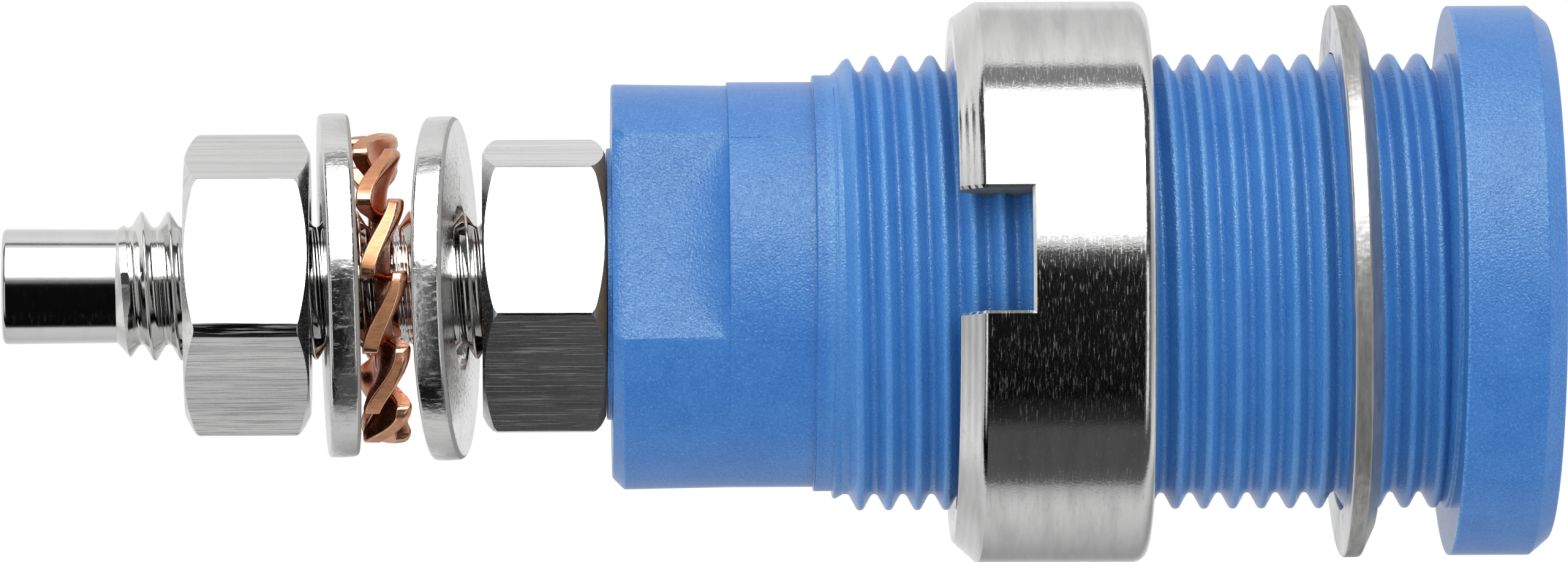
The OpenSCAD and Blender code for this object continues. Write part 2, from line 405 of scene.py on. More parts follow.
def share_of(value: float, start: float, length: float) -> float:
    """Give how far a value has come from a start over a length, from 0 to 1."""
    return min(max((value - start) / length, 0.0), 1.0)


def soft_share(value: float, start: float, length: float) -> float:
    """Give the same share with a gentle start and end."""
    share = share_of(value, start, length)
    return share * share * (3 - 2 * share)


def widen(vertex: MeshVertex, factor: float) -> None:
    """Move a vertex to a distance from the axis that is larger by a factor."""
    vertex.co.y *= factor
    vertex.co.z *= factor


def sloped(low: float, radius: float) -> Callable[[MeshPolygon], bool]:
    """Make a test for the outer faces that lean to the front without facing it.

    Args:
        low: Least part of a face's normal along the axis.
        radius: Least distance of a face from the axis.

    Returns:
        The test.
    """
    return lambda face: low < face.normal.x < FACING and face.center.yz.length > radius * MM


@dataclass(frozen=True)
class ThreadRidge:
    """Helical ridge of a right-hand thread, laid over a plain core or inside a plain bore.

    The fields give the section, the lead and the crests that stand at the top of the part. A ridge
    in a bore has a crest radius smaller than its root radius.
    """

    root_radius: float
    crest_radius: float
    pitch: float
    crest_round: float
    flank_angle: float
    first_crest: float
    last_crest: float
    root_round: float = 0.06
    sink: float = 0.08
    steps: int = 96
    crest_steps: int = 6
    foot_curve: tuple[Point, ...] = ((0.15, 0.28), (0.9, 0.0))

    def section(self) -> list[Point]:
        """Closed section of the ridge at its first crest.

        Returns:
            Points from the rear foot over the rounded crest to the front foot.
        """
        flank, ease = self.flank_angle, self.root_round
        lean, rise = math.tan(math.radians(flank)), self.crest_radius - self.root_radius
        centre = (0.0, abs(rise) - self.crest_round)
        crest = corner(centre, self.crest_round, 180 - flank, flank, self.crest_steps)
        foot = crest[-1][0] + crest[-1][1] * lean
        front = [(foot - ease * lean, ease)]
        front += [(foot + along * ease, up * ease) for along, up in self.foot_curve]
        front += [(front[-1][0], -self.sink)]
        rear = [(-x, h) for x, h in reversed(front)]
        way = math.copysign(1, rise)
        return [(self.first_crest + x, self.root_radius + way * h) for x, h in rear + crest + front]

    def build(self, name: str) -> Object:
        """Wind the section along the thread.

        Args:
            name: Name for the new object.

        Returns:
            The closed ridge.
        """
        turns = (self.last_crest - self.first_crest) / self.pitch
        obj = Bench.profile(name, self.section())
        winding = obj.modifiers.new("winding", "SCREW")
        winding.axis = "X"
        winding.angle = math.tau * turns
        winding.screw_offset = self.pitch * turns * MM
        winding.steps = winding.render_steps = round(self.steps * turns)
        winding.use_merge_vertices = False
        Bench.apply(obj, winding)
        Bench.edit(obj)
        bpy.ops.mesh.fill_holes(sides=0)
        bpy.ops.mesh.normals_make_consistent(inside=False)
        Bench.leave()
        return obj

    def fade(self, obj: Object, start: float, full: float) -> None:
        """Let the ridge rise out of its core from one place to another.

        Args:
            obj: The wound ridge.
            start: Place along the axis where the ridge is level with its core.
            full: Place along the axis where it has its full height.
        """
        low = (self.root_radius - self.sink) * MM
        for vertex in obj.data.vertices:
            share = share_of(vertex.co.x / MM, start, full - start)
            radius = vertex.co.yz.length
            widen(vertex, (low + (radius - low) * share) / radius)


class Board:
    """Short way to place and wire the nodes of one shader tree."""

    def __init__(self, tree: NodeTree) -> None:
        """Keep the tree and empty it."""
        self.tree = tree
        self.tree.nodes.clear()

    @staticmethod
    def material(name: str) -> tuple[Material, "Board"]:
        """Start a material.

        Args:
            name: Name for the material.

        Returns:
            The material and the board of its tree.
        """
        material = bpy.data.materials.new(name)
        material.use_nodes = True
        return material, Board(material.node_tree)

    def add(self, kind: str, inputs: dict | None = None, **settings: object) -> Node:
        """Add one node.

        Args:
            kind: Node type without its ShaderNode prefix, or the full name of a group node.
            inputs: Socket names or numbers with a value or with the output socket to wire in.
            settings: Attributes of the node.

        Returns:
            The new node.
        """
        node = self.tree.nodes.new(kind if kind.startswith("NodeGroup") else "ShaderNode" + kind)
        for key, value in settings.items():
            setattr(node, key, value)
        for key, value in (inputs or {}).items():
            if isinstance(value, NodeSocket):
                self.tree.links.new(value, node.inputs[key])
            else:
                node.inputs[key].default_value = value
        return node

    def maths(self, operation: str, *values: object) -> NodeSocket:
        """Add a Math node.

        Args:
            operation: Name of the operation.
            values: Numbers or output sockets.

        Returns:
            The result's socket.
        """
        return self.add("Math", dict(enumerate(values)), operation=operation).outputs[0]

    def plus(self, first: object, *others: object) -> NodeSocket:
        """Add up numbers or output sockets.

        Args:
            first: The first one.
            others: What is added to it.

        Returns:
            The sum's socket.
        """
        for other in others:
            first = self.maths("ADD", first, other)
        return first

    def times(self, first: object, *others: object) -> NodeSocket:
        """Multiply numbers or output sockets.

        Args:
            first: The first one.
            others: What it is multiplied by.

        Returns:
            The product's socket.
        """
        for other in others:
            first = self.maths("MULTIPLY", first, other)
        return first

    def span(
        self, value: object, low: float, high: float, to_low: float, to_high: float
    ) -> NodeSocket:
        """Add a clamped Map Range node.

        Args:
            value: Number or output socket to map.
            low: Value that becomes to_low.
            high: Value that becomes to_high.
            to_low: Result at low.
            to_high: Result at high.

        Returns:
            The result's socket.
        """
        values = {"Value": value, "From Min": low, "From Max": high}
        values |= {"To Min": to_low, "To Max": to_high}
        return self.add("MapRange", values).outputs[0]

    def blend(self, share: object, first: object, second: object) -> NodeSocket:
        """Add a colour Mix node.

        Args:
            share: How much of the second colour is taken.
            first: First colour or its socket.
            second: Second colour or its socket.

        Returns:
            The mixed colour's socket.
        """
        node = self.add("Mix", {0: share, 6: first, 7: second}, data_type="RGBA")
        return node.outputs[2]

    def grey(self, level: NodeSocket) -> NodeSocket:
        """Make a grey of one level."""
        return self.add("CombineColor", dict(enumerate([level] * 3))).outputs[0]

    def around(self) -> tuple[NodeSocket, NodeSocket]:
        """Find where a point lies about the part's axis.

        Returns:
            Sockets of the place along the axis and of the distance from it.
        """
        place = self.add("SeparateXYZ", {0: self.add("TexCoord").outputs["Object"]})
        squares = [self.maths("POWER", place.outputs[i], 2.0) for i in (1, 2)]
        return place.outputs[0], self.maths("SQRT", self.plus(*squares))


def opaque(colour: Colour) -> tuple[float, float, float, float]:
    """Give the colour with full alpha."""
    return (*colour, 1.0)


def neutral(level: float) -> tuple[float, float, float, float]:
    """Give a grey with full alpha."""
    return (level, level, level, 1.0)


class Effects:
    """Shader node groups that several finishes share."""

    @staticmethod
    def group(
        name: str, inputs: dict[str, str], outputs: Sequence[str]
    ) -> tuple[Board, Node, Node]:
        """Start a node group.

        Args:
            name: Name of the group.
            inputs: Input names with their socket types.
            outputs: Names of the value outputs.

        Returns:
            The board of the group's tree, its input node and its output node.
        """
        tree = bpy.data.node_groups.new(name, "ShaderNodeTree")
        for key, kind in inputs.items():
            tree.interface.new_socket(key, in_out="INPUT", socket_type=kind)
        for key in outputs:
            tree.interface.new_socket(key, in_out="OUTPUT", socket_type="NodeSocketFloat")
        board = Board(tree)
        return board, board.add("NodeGroupInput"), board.add("NodeGroupOutput")

    @staticmethod
    def noises(
        board: Board, place: NodeSocket, end: Node, rows: dict[str, tuple[object, float, float]]
    ) -> None:
        """Wire a noise to each output of a group.

        Args:
            board: The group's board.
            place: Where the noises are read.
            end: The group's output node.
            rows: Output names with the scale, detail and roughness of their noise.
        """
        for name, (scale, detail, roughness) in rows.items():
            inputs = {"Vector": place, "Scale": scale, "Detail": detail, "Roughness": roughness}
            board.tree.links.new(board.add("TexNoise", inputs).outputs[0], end.inputs[name])

    @staticmethod
    @cache
    def grain() -> NodeTree:
        """Fine even grain of a spark-eroded mould or a blasted sheet.

        Returns:
            The group, with Size and Wave Size as features per metre.
        """
        sizes = {"Size": "NodeSocketFloat", "Wave Size": "NodeSocketFloat"}
        board, start, end = Effects.group("grain", sizes, ["Fine", "Patches", "Waves"])
        place = board.add("TexCoord").outputs["Object"]
        rows = {"Fine": (start.outputs["Size"], 2.0, 0.6), "Patches": (900.0, 3.0, 0.55)}
        rows["Waves"] = (start.outputs["Wave Size"], 2.0, 0.5)
        Effects.noises(board, place, end, rows)
        return board.tree

    @staticmethod
    @cache
    def tool_lines() -> NodeTree:
        """Fine lines left by turning, drawing or stamping.

        Returns:
            The group, with Density as features per metre along X, Y and Z.
        """
        density = {"Density": "NodeSocketVector"}
        board, start, end = Effects.group("tool_lines", density, ["Lines", "Broad"])
        factors = {0: board.add("TexCoord").outputs["Object"], 1: start.outputs["Density"]}
        spread = board.add("VectorMath", factors, operation="MULTIPLY").outputs[0]
        Effects.noises(board, spread, end, {"Lines": (1.0, 3.0, 0.7), "Broad": (0.13, 2.0, 0.6)})
        return board.tree


@dataclass(frozen=True)
class MouldedPlastic:
    """Matt coloured plastic with a fine grain and a rough painted highlight at the head's back
    edge.
    """

    name: str = "blue_moulded_plastic"
    colour: Colour = (0.021, 0.153, 0.522)
    # Paler colour of the grain and specks, also used for the painted light on the thread and the
    # painted highlight at the head's back edge.
    pale: Colour = (0.085, 0.300, 0.720)
    roughness: float = 0.16
    rough_spread: float = 0.03
    specular: float = 0.9
    specular_tint: Colour = (0.9, 1.0, 0.56)
    grain_size: float = 16000.0
    grain_depth: float = 0.038
    grain_tone: Span = (0.35, 0.68, 0.0, 0.34)
    patch_tone: Span = (0.35, 0.65, 0.0, 0.18)
    speck_tone: Span = (0.62, 0.72, 0.0, 0.45)
    # Where the thread is painted paler: painted light that lifts the shade in its grooves.
    thread_start: float = -16.4
    thread_ease: float = 0.2
    thread_reach: Point = (6.0, 6.3)
    thread_light_lift: float = 0.42
    # Painted highlight along the head's back edge, broken up like a moulding burr.
    flash_highlight_place: float = 0.03
    flash_highlight_width: float = 0.05
    flash_highlight_core: float = 0.4
    flash_highlight_reach: Point = (6.95, 7.0)
    flash_highlight_grain: Span = (0.42, 0.56, 0.0, 0.9)

    def flash_highlight(self, board: Board, fine: NodeSocket) -> NodeSocket:
        """Mask of the painted highlight along the head's back edge, broken up like a rough moulding
        burr.

        Args:
            board: The material's board.
            fine: The fine grain.

        Returns:
            The mask's socket.
        """
        place, radius = board.around()
        away = board.maths("ABSOLUTE", board.maths("SUBTRACT", place, self.flash_highlight_place * MM))
        wide = self.flash_highlight_width * MM
        near = board.span(away, wide * self.flash_highlight_core, wide, 1.0, 0.0)
        outer = board.span(radius, *(r * MM for r in self.flash_highlight_reach), 0.0, 1.0)
        return board.times(near, outer, board.span(fine, *self.flash_highlight_grain))

    def painted_thread_light(self, board: Board) -> NodeSocket:
        """Share of painted light on the thread, where the plastic is painted paler to lift the
        shade in its grooves.

        Args:
            board: The material's board.

        Returns:
            The share's socket.
        """
        place, radius = board.around()
        start, end = self.thread_start * MM, (self.thread_start + self.thread_ease) * MM
        along = board.span(place, start, end, 0.0, self.thread_light_lift)
        inner = board.span(radius, *(r * MM for r in self.thread_reach), 1.0, 0.0)
        return board.times(along, inner)

    def material(self) -> Material:
        """Build the material.

        Returns:
            The finished material.
        """
        material, board = Board.material(self.name)
        grain = board.add("Group", {}, node_tree=Effects.grain())
        grain.inputs["Size"].default_value = self.grain_size
        fine, patches = grain.outputs["Fine"], grain.outputs["Patches"]
        # The tone mixes the real grain, patches and specks with painted light on the thread and a
        # painted highlight at the head's back edge.
        tone = board.plus(
            board.span(fine, *self.grain_tone), board.span(patches, *self.patch_tone),
            board.span(fine, *self.speck_tone), self.flash_highlight(board, fine), self.painted_thread_light(board),
        )
        low, high = self.roughness - self.rough_spread, self.roughness + self.rough_spread
        bump = {"Height": fine, "Strength": 1.0, "Distance": self.grain_depth * MM}
        shader = board.add("BsdfPrincipled", {
            "Base Color": board.blend(tone, opaque(self.colour), opaque(self.pale)),
            "Roughness": board.span(fine, 0.3, 0.7, low, high),
            "Normal": board.add("Bump", bump).outputs[0],
            "Specular IOR Level": self.specular,
            "Specular Tint": opaque(self.specular_tint),
        })
        board.add("OutputMaterial", {"Surface": shader.outputs[0]})
        return material


@dataclass(frozen=True)
class PlatedMetal:
    """Bright metal with tool marks and a fine unevenness that frays what it reflects."""

    name: str
    colour: Colour
    roughness: float
    lines: Triple
    line_depth: float
    grain_size: float = 14000.0
    grain_depth: float = 0.0016
    wave_size: float = 5500.0
    wave_depth: float = 0.0012
    scratch: float = 0.3
    scratch_lines: Span = (0.52, 0.7, 0.0, 1.0)
    scratch_tone: float = 0.3
    broad_lines: Point = (0.4, 0.7)
    broad_rough: float = 0.4
    tone: float = 0.08
    cut_colour: Colour = (0.30, 0.27, 0.235)
    cut_dark: float = 0.55
    cut_lines: Point = (0.35, 0.65)
    cut_fine: float = 0.6
    cut_roughness: float = 0.6
    cut_metal: float = 0.3
    # Painted shade: a darker, redder colour towards the axis, where the teeth shade and mirror each
    # other.
    painted_shade_colour: Colour | None = None
    painted_shade_reach: Point = (3.1, 4.0)

    def paint_shade(self, board: Board, colour: NodeSocket) -> NodeSocket:
        """Paint shade into the colour towards the axis, where the metal lies in shade and mirrors
        itself.

        Args:
            board: The material's board.
            colour: The colour so far.

        Returns:
            The darkened colour's socket.
        """
        share = board.span(board.around()[1], *(r * MM for r in self.painted_shade_reach), 1.0, 0.0)
        return board.blend(share, colour, opaque(self.painted_shade_colour))

    def tint(self, board: Board, marks: Node, cut: NodeSocket) -> NodeSocket:
        """Colour of the plating with its darker tool marks and any painted shade, and of the cut
        faces.

        Args:
            board: The material's board.
            marks: Node of the tool lines.
            cut: Mask of the cut faces.

        Returns:
            The colour's socket.
        """
        line, broad = marks.outputs["Lines"], marks.outputs["Broad"]
        scratch = board.span(line, *self.scratch_lines)
        tone = board.plus(
            board.span(scratch, 0.0, 1.0, 0.0, self.scratch_tone),
            board.span(broad, *self.broad_lines, 0.0, 1.0),
        )
        dark = tuple(c * (1 - self.tone) for c in self.colour)
        colour = board.blend(tone, opaque(self.colour), opaque(dark))
        if self.painted_shade_colour is not None:
            colour = self.paint_shade(board, colour)
        worn = board.plus(
            board.span(line, *self.cut_lines, 0.0, self.cut_fine),
            board.span(broad, *self.cut_lines, 0.0, 1 - self.cut_fine),
        )
        shade = tuple(c * self.cut_dark for c in self.cut_colour)
        return board.blend(cut, colour, board.blend(worn, opaque(shade), opaque(self.cut_colour)))

    def rough(self, board: Board, marks: Node, cut: NodeSocket) -> NodeSocket:
        """Roughness, higher in the tool marks and on the cut faces.

        Args:
            board: The material's board.
            marks: Node of the tool lines.
            cut: Mask of the cut faces.

        Returns:
            The roughness socket.
        """
        scratch = board.span(marks.outputs["Lines"], *self.scratch_lines)
        more = self.roughness * self.broad_rough
        rough = board.plus(
            board.span(scratch, 0.0, 1.0, self.roughness, self.roughness + self.scratch),
            board.span(marks.outputs["Broad"], *self.broad_lines, 0.0, more),
        )
        change = board.maths("SUBTRACT", self.cut_roughness, rough)
        return board.plus(rough, board.times(cut, change))

    def material(self) -> Material:
        """Build the material.

        Returns:
            The finished material, which is dull where the mesh is marked as cut.
        """
        material, board = Board.material(self.name)
        grain = board.add("Group", {}, node_tree=Effects.grain())
        grain.inputs["Size"].default_value = self.grain_size
        grain.inputs["Wave Size"].default_value = self.wave_size
        marks = board.add("Group", {}, node_tree=Effects.tool_lines())
        marks.inputs["Density"].default_value = self.lines
        cut = board.add("Attribute", attribute_name="cut").outputs["Fac"]
        bump = {"Height": grain.outputs["Waves"], "Distance": self.wave_depth * MM}
        for height, depth in (
            (grain.outputs["Fine"], self.grain_depth), (marks.outputs["Lines"], self.line_depth),
        ):
            under = board.add("Bump", bump).outputs[0]
            bump = {"Height": height, "Distance": depth * MM, "Normal": under}
        shader = board.add("BsdfPrincipled", {
            "Base Color": self.tint(board, marks, cut),
            "Roughness": self.rough(board, marks, cut),
            "Normal": board.add("Bump", bump).outputs[0],
            "Metallic": board.span(cut, 0.0, 1.0, 1.0, self.cut_metal),
        })
        board.add("OutputMaterial", {"Surface": shader.outputs[0]})
        return material


class Finishes:
    """The part's finishes, each made once."""

    def __init__(self) -> None:
        """Build every material."""
        nickel, copper = (0.82, 0.82, 0.815), (0.95, 0.52, 0.34)
        self.plastic = MouldedPlastic().material()
        self.turned = PlatedMetal(
            "turned_nickel", nickel, 0.06, (24000, 3000, 3000), 0.0005, scratch=0.26, tone=0.16
        ).material()
        self.drawn = PlatedMetal(
            "drawn_nickel", nickel, 0.07, (400, 26000, 26000), 0.0011, grain_depth=0.0006,
            wave_depth=0.0005, scratch=0.62, tone=0.2, cut_colour=(0.60, 0.36, 0.17), cut_metal=0.1,
        ).material()
        self.stamped = PlatedMetal(
            "stamped_nickel", nickel, 0.13, (2500, 9000, 9000), 0.0015, wave_size=5200,
            wave_depth=0.007,
        ).material()
        self.blanked = PlatedMetal(
            "blanked_nickel", nickel, 0.26, (9000, 1200, 1200), 0.0012, wave_size=2300,
            wave_depth=0.03, tone=0.3, cut_colour=(0.55, 0.545, 0.537), cut_roughness=0.36,
            cut_metal=0.78,
        ).material()
        self.rolled = PlatedMetal(
            "rolled_nickel", nickel, 0.03, (9000, 2500, 2500), 0.0004, grain_depth=0.0003,
            wave_depth=0.0004, scratch=0.08,
        ).material()
        # The copper's colour has painted shade, darker and redder towards the axis.
        self.copper = PlatedMetal(
            "copper_sheet", copper, 0.18, (3000, 12000, 12000), 0.0006, grain_depth=0.001,
            scratch=0.2, tone=0.3, cut_colour=(0.77, 0.35, 0.175), cut_roughness=0.38,
            cut_metal=0.6, painted_shade_colour=(0.58, 0.17, 0.07),
        ).material()


@dataclass
class Piece:
    """One physical piece: what it is called, what carries it and what it is made of."""

    name: str
    node: str
    body: str
    slot: Slot

    def hand_over(self, obj: Object, material: Material) -> None:
        """Dress the finished mesh and put it in place of its CAD node.

        Args:
            obj: The finished mesh.
            material: Its finish.
        """
        obj.name = obj.data.name = self.name
        obj.data.materials.clear()
        obj.data.materials.append(material)
        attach(obj, self.body)
        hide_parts(self.node)
        LOG.info("%s: %d faces", self.name, len(obj.data.polygons))


@dataclass
class InsulatingBody:
    """Blue moulded body: head, threaded barrel, rear end with flats, hollow and post."""

    head_radius: float = 7.19
    head_length: float = 2.6
    head_bevel_start: float = 2.09
    head_bevel_fall: float = 0.84
    head_front_round: float = 0.18
    rear_end: float = -21.85
    rear_radius: float = 5.295
    rear_front_radius: float = 5.25
    rear_chamfer: float = 0.24
    rear_chamfer_drift: float = 0.54
    rear_chamfer_fade: float = 0.25
    rear_drop: float = 0.075
    flat_front: float = -18.83
    flat_offset: float = 4.5
    flat_turn: float = 17.0
    flat_rise_length: float = 1.9
    flat_chamfer: float = 0.32
    flat_chamfer_fall: float = 0.6
    flat_share: float = 0.9948
    flat_steps: int = 12
    flat_least: float = 0.02
    tool_height: float = 8.0
    tool_width: float = 14.0
    waist_radius: float = 5.295
    waist_inside: float = 5.0
    waist_drop: float = 0.03
    step_length: float = 0.02
    collar_radius: float = 5.44
    collar_front: float = -16.1
    collar_rear: float = -16.6
    collar_ease: float = 0.06
    thread_fade: Point = (-16.35, -15.6)
    neck: Point = (-0.36, -0.12)
    seat_radius: float = 3.55
    seat_height: float = 0.13
    seat_margin: float = 0.1
    wall: float = 0.5
    hollow_radius: float = 4.1
    hollow_floor: float = -17.4
    mouth_chamfer: float = 0.3
    post_radius: float = 3.1
    post_front: float = 1.6
    sleeve_radius: float = 2.63
    web_front: float = -19.6
    stud_hole_radius: float = 2.05
    line_width: float = 0.1
    line_height: float = 0.03
    lower_line_turn: float = -15.6
    upper_line_turn: float = 46.5
    upper_line_length: float = 1.1
    edge: float = 0.06
    steps: int = 160
    piece: Piece = field(default_factory=lambda: Piece(
        "body_blue", "insulating_body", "socket", Slot.BLUE_PLASTIC))
    thread: ThreadRidge = field(default_factory=lambda: ThreadRidge(
        5.525, 5.95, 0.75, 0.12, 29.0, -16.505, 0.2))

    def core_section(self) -> list[Point]:
        """Half section of the body without its thread.

        Returns:
            Closed outline from the rear web around the outside to the inside.
        """
        root, crest, front = self.thread.root_radius, self.thread.crest_radius, self.head_length
        rear, seat = self.rear_end, self.rear_end - self.seat_height
        chamfer, mouth, waist = self.rear_chamfer, self.mouth_chamfer, self.waist_radius
        turn = math.atan2(1, self.head_bevel_fall)
        middle = front - self.head_front_round
        meet = middle + self.head_front_round * math.cos(turn)
        height = self.head_radius - (meet - self.head_bevel_start) * self.head_bevel_fall
        height -= self.head_front_round * math.sin(turn)
        return [
            (seat, self.stud_hole_radius), (seat, self.seat_radius), (rear, self.seat_radius),
            (rear, self.rear_radius - chamfer), (rear + chamfer, self.rear_radius),
            (self.flat_front - self.step_length, waist), (self.flat_front, waist),
            (self.collar_rear, waist), (self.collar_rear, self.collar_radius),
            (self.collar_front, self.collar_radius), (self.collar_front + self.collar_ease, root),
            (self.neck[0], root), (self.neck[1], crest), (0.0, crest),
            (0.0, self.head_radius), (self.head_bevel_start, self.head_radius),
            *corner((middle, height), self.head_front_round, math.degrees(turn), 0),
            (front, self.hollow_radius + mouth), (front - mouth, self.hollow_radius),
            (self.hollow_floor, self.hollow_radius), (self.hollow_floor, self.post_radius),
            (self.post_front, self.post_radius), (self.post_front, self.sleeve_radius),
            (self.web_front, self.sleeve_radius), (self.web_front, self.stud_hole_radius),
        ]

    def drift_chamfer(self, core: Object) -> None:
        """Make the rear chamfer wide at the bottom and narrow at the top.

        Args:
            core: The turned body.
        """
        for vertex in core.data.vertices:
            radius = vertex.co.yz.length
            if radius / MM < self.seat_radius + self.wall:
                continue
            height = vertex.co.z / radius
            drift = self.rear_chamfer_drift * height + self.rear_chamfer_fade * height**2
            extra = -self.rear_chamfer * drift * MM
            if abs(vertex.co.x / MM - self.rear_end) < NEAR:
                widen(vertex, 1 - extra / radius)
            elif abs(vertex.co.x / MM - self.rear_end - self.rear_chamfer) < NEAR:
                vertex.co.x += extra

    def sink_rear(self, core: Object) -> None:
        """Make the step from the waist down to the rear end.

        Args:
            core: The turned body.
        """
        for vertex in core.data.vertices:
            radius = vertex.co.yz.length / MM
            at_step = abs(vertex.co.x / MM - self.flat_front + self.step_length) < NEAR / 2
            if at_step and radius > self.hollow_radius + self.wall:
                widen(vertex, self.rear_front_radius / radius)

    def flat_tool(self, side: float) -> Object:
        """Block that cuts one spanner flat with its rear chamfer and its hollow inner end.

        The inner end rises to the waist along a curve that is as long as the flat is deep there, so
        its edge is straight.

        Args:
            side: Turn of this flat from the first one, in degrees.

        Returns:
            The block, in place.
        """
        high, width, count = self.tool_height, self.tool_width, self.flat_steps
        level, step, rise = self.flat_offset, self.flat_front, self.flat_rise_length
        start, depth = self.rear_end + self.flat_chamfer, self.waist_radius - level
        outline = [(start - 1, high), (start - 1, level - self.flat_chamfer_fall), (start, level)]
        for i in range(count + 1):
            angle = math.radians(90 / count * i)
            place = step - rise * (1 - math.sin(angle))
            outline.append((place, level + depth * (1 - math.cos(angle))))
        tool = Bench.profile("flat_tool", outline + [(step, high)])
        half = math.sqrt(self.waist_radius**2 - level**2)
        inner = (half * i / count for i in range(-count, count + 1))
        places = [-width / 2, *inner, width / 2]
        Bench.edit(tool)
        bpy.ops.mesh.edge_face_add()
        for last, place in zip(places, places[1:]):
            move = (0, (place - last) * MM, 0)
            bpy.ops.mesh.extrude_region_move(TRANSFORM_OT_translate={"value": move})
        Bench.clean(tool)
        Bench.place(tool, (0, places[0], 0))
        for vertex in tool.data.vertices:
            x, y, z = (n / MM for n in vertex.co)
            if x > step - rise - NEAR and z < level + depth + NEAR:
                here = math.sqrt(max(self.waist_radius**2 - y**2, level**2)) - level
                share = max(here / depth, self.flat_least)
                vertex.co.x = (step + (x - step) * share) * MM
                vertex.co.z = (level + (z - level) * share) * MM
        Bench.place(tool, turn=(90 + side - self.flat_turn, 0, 0))
        return tool

    def parting_line(self, turn: float, length: float) -> Object:
        """Thin ridge that the mould's parting leaves on the waist.

        Args:
            turn: Angle above the viewer's level, in degrees.
            length: Length from the flat's end.

        Returns:
            The ridge, sunk into the waist.
        """
        ridge = Bench.block("parting_ridge", (length, self.line_width, self.line_width))
        Bench.break_edges(ridge, self.line_height, 30, 2)
        depth = -self.waist_radius + self.line_height
        Bench.place(ridge, (self.flat_front + length / 2, depth, 0))
        Bench.place(ridge, turn=(-turn, 0, 0))
        Bench.place(ridge, (0, 0, -self.waist_drop))
        return ridge

    def ridge(self) -> Object:
        """Barrel thread that fades out before the collar.

        Returns:
            The ridge, cut off at the collar.
        """
        ridge = self.thread.build("barrel_thread")
        self.thread.fade(ridge, *self.thread_fade)
        Bench.edit(ridge)
        bpy.ops.mesh.bisect(
            plane_co=(self.collar_front * MM, 0, 0), plane_no=(1, 0, 0), use_fill=True,
            clear_inner=True, threshold=MERGE / 10,
        )
        Bench.leave()
        return ridge

    def build(self, finishes: Finishes) -> None:
        """Model and dress the body.

        Args:
            finishes: The part's finishes.
        """
        core = Bench.turned("body_core", self.core_section(), self.steps)
        self.drift_chamfer(core)
        Bench.break_edges(core, self.edge, 25, 3)
        self.sink_rear(core)
        for side in (0.0, 180.0):
            Bench.combine(core, self.flat_tool(side), Cut.REMOVE, self.flat_share)
        seat, waist = (self.seat_radius + self.seat_margin) * MM, self.waist_inside * MM
        step, collar = (self.flat_front - NEAR) * MM, self.collar_rear * MM
        Bench.lower(core, lambda p: p.yz.length > seat and p.x < step, self.rear_drop)
        Bench.lower(core, lambda p: p.yz.length > waist and step < p.x < collar, self.waist_drop)
        lower = self.parting_line(self.lower_line_turn, self.collar_rear - self.flat_front)
        upper = self.parting_line(self.upper_line_turn, self.upper_line_length)
        Bench.join(core, [self.ridge(), lower, upper])
        Bench.smooth(core, 32)
        self.piece.hand_over(core, finishes.plastic)


@dataclass
class SocketContact:
    """Turned contact: plug sleeve, threaded stud and plain pilot."""

    pilot_end: float = -37.72
    pilot_radius: float = 1.505
    pilot_front_radius: float = 1.482
    pilot_chamfer: float = 0.07
    thread_end: float = -34.75
    thread_lead: float = 0.3
    cone_start: float = -0.1
    cone_slope: float = 1.1
    shoulder: float = -19.58
    sleeve_radius: float = 2.6
    sleeve_front: float = 0.8
    bore_radius: float = 2.0
    bore_floor: float = -18.2
    bore_chamfer: float = 0.3
    edge: float = 0.04
    steps: int = 96
    piece: Piece = field(default_factory=lambda: Piece(
        "contact_nickel", "socket_contact", "socket", Slot.NICKEL_CONTACT))
    thread: ThreadRidge = field(default_factory=lambda: ThreadRidge(
        1.53, 1.95, 0.7, 0.055, 30.0, -34.81, -21.9, 0.07, 0.06, 72))

    def core_section(self) -> list[Point]:
        """Half section of the contact without its thread.

        Returns:
            Closed outline from the pilot's end to the bore's floor.
        """
        root, end, chamfer = self.thread.root_radius, self.pilot_end, self.pilot_chamfer
        front, bore, sink = self.sleeve_front, self.bore_radius, self.bore_chamfer
        return [
            (end, 0.0), (end, self.pilot_radius - chamfer), (end + chamfer, self.pilot_radius),
            (self.thread_end, self.pilot_front_radius), (self.thread_end + self.thread_lead, root),
            (self.shoulder, root), (self.shoulder, self.sleeve_radius), (front, self.sleeve_radius),
            (front, bore + sink), (front - sink, bore), (self.bore_floor, bore),
            (self.bore_floor, 0.0),
        ]

    def chamfer_thread(self, ridge: Object) -> None:
        """Trim the thread's start to a cone.

        Args:
            ridge: The wound ridge.
        """
        for vertex in ridge.data.vertices:
            away = max(vertex.co.x / MM - self.thread_end, self.cone_start)
            limit = (self.pilot_front_radius + away * self.cone_slope) * MM
            radius = vertex.co.yz.length
            if radius > limit:
                widen(vertex, limit / radius)

    def build(self, finishes: Finishes) -> None:
        """Model and dress the contact.

        Args:
            finishes: The part's finishes.
        """
        core = Bench.turned("contact_core", self.core_section(), self.steps)
        Bench.break_edges(core, self.edge, 25, 2)
        ridge = self.thread.build("stud_thread")
        self.chamfer_thread(ridge)
        Bench.join(core, [ridge])
        Bench.smooth(core, 32)
        self.piece.hand_over(core, finishes.rolled)


